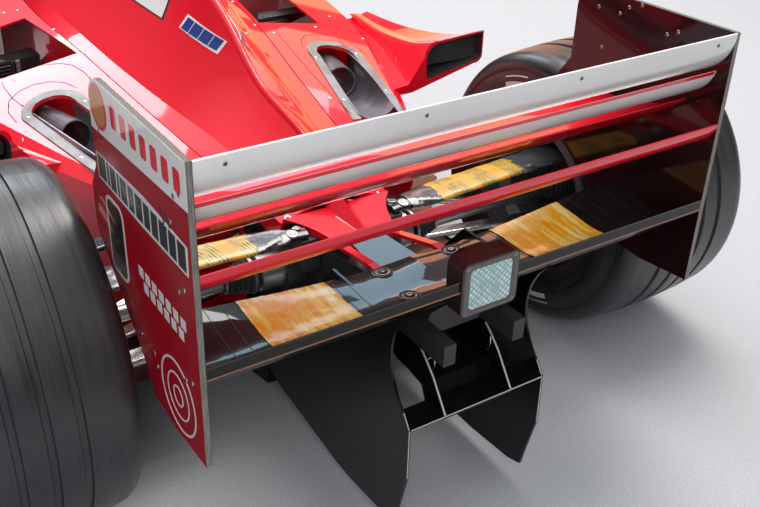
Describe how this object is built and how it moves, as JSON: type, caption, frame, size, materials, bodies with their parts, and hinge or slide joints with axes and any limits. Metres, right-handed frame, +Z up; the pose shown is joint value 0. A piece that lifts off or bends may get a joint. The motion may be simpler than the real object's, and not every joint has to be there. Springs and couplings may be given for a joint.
{
  "type": "open wheel racing car",
  "caption": "Single seat open wheel racing car with a high nose, grooved tyres, a two tier rear wing, a tall diffuser, steered front wheels and wheels that roll.",
  "frame": {"origin": "on the ground, under the middle of the car's length and width", "axes": "the car faces -Y, +X is its left hand side and +Z is up"},
  "size_m": [1.7952, 4.39, 0.95],
  "materials": {
    "red_paint": "gloss",
    "white_paint": "gloss",
    "dark_composite": "satin",
    "padding": "matt",
    "plank_wood": "matt",
    "clear_screen": "gloss",
    "dark_casting": "satin",
    "bare_alloy": "satin",
    "bare_steel": "satin",
    "wheel_paint": "satin",
    "tyre_rubber": "matt"
  },
  "bodies": {
    "chassis": {"bargeboards": "dark_composite", "diffuser": "dark_composite", "engine": "dark_casting", "engine_cover": "red_paint", "exhausts": "bare_steel", "floor": "dark_composite", "front_suspension": "dark_composite", "front_wing_endplates": "red_paint", "front_wing_flaps": "white_paint", "front_wing_main": "red_paint", "gearbox": "dark_casting", "headrest": "padding", "lower_wing": "dark_composite", "mirrors": "red_paint", "monocoque": "red_paint", "nose_cone": "red_paint", "plank": "plank_wood", "radiators": "bare_alloy", "rain_light": "dark_composite", "rear_suspension": "dark_composite", "rear_uprights": "dark_casting", "rear_wing_blade": "red_paint", "rear_wing_endplates": "red_paint", "rear_wing_flaps": "white_paint", "rear_wing_main": "red_paint", "seat": "dark_composite", "sidepods": "red_paint", "tail_cover": "red_paint", "windscreen": "clear_screen", "winglets": "red_paint"},
    "steering_wheel": {"steering_wheel": "dark_composite"},
    "steering_rack": {"steering_rack": "bare_steel"},
    "front_left_knuckle": {"front_left_upright": "dark_casting"},
    "front_right_knuckle": {"front_right_upright": "dark_casting"},
    "front_left_wheel": {"front_left_tyre": "tyre_rubber", "front_left_rim": "wheel_paint", "front_left_hub": "bare_steel"},
    "front_right_wheel": {"front_right_tyre": "tyre_rubber", "front_right_rim": "wheel_paint", "front_right_hub": "bare_steel"},
    "rear_left_wheel": {"rear_left_tyre": "tyre_rubber", "rear_left_rim": "wheel_paint", "rear_left_hub": "bare_steel"},
    "rear_right_wheel": {"rear_right_tyre": "tyre_rubber", "rear_right_rim": "wheel_paint", "rear_right_hub": "bare_steel"}
  },
  "joints": [
    {"name": "steer_left", "type": "hinge", "parent": "chassis", "child": "front_left_knuckle", "pos_m": [0.64, -1.3, 0.32], "axis": [0, 0, 1], "range_deg": [-14, 14]},
    {"name": "steer_right", "type": "hinge", "parent": "chassis", "child": "front_right_knuckle", "pos_m": [-0.64, -1.3, 0.32], "axis": [0, 0, 1], "range_deg": [-14.1, 14.1]},
    {"name": "rack_slide", "type": "slide", "parent": "chassis", "child": "steering_rack", "axis": [1, 0, 0], "range_m": [-0.0197, 0.0197]},
    {"name": "wheel_turn", "type": "hinge", "parent": "chassis", "child": "steering_wheel", "pos_m": [0, -0.37, 0.56], "axis": [0, 0.9511, 0.309], "range_deg": [-141, 141]},
    {"name": "front_left_roll", "type": "hinge", "parent": "front_left_knuckle", "child": "front_left_wheel", "pos_m": [0.745, -1.3, 0.32], "axis": [1, 0, 0], "continuous": true},
    {"name": "front_right_roll", "type": "hinge", "parent": "front_right_knuckle", "child": "front_right_wheel", "pos_m": [-0.745, -1.3, 0.32], "axis": [1, 0, 0], "continuous": true},
    {"name": "rear_left_roll", "type": "hinge", "parent": "chassis", "child": "rear_left_wheel", "pos_m": [0.7025, 1.71, 0.325], "axis": [1, 0, 0], "continuous": true},
    {"name": "rear_right_roll", "type": "hinge", "parent": "chassis", "child": "rear_right_wheel", "pos_m": [-0.7025, 1.71, 0.325], "axis": [1, 0, 0], "continuous": true}
  ],
  "couplings": [
    {"joint": "steer_right", "follows": "steer_left", "ratio": 1},
    {"joint": "rack_slide", "follows": "steer_left", "m_per_rad": 0.08},
    {"joint": "wheel_turn", "follows": "steer_left", "ratio": 10}
  ]
}
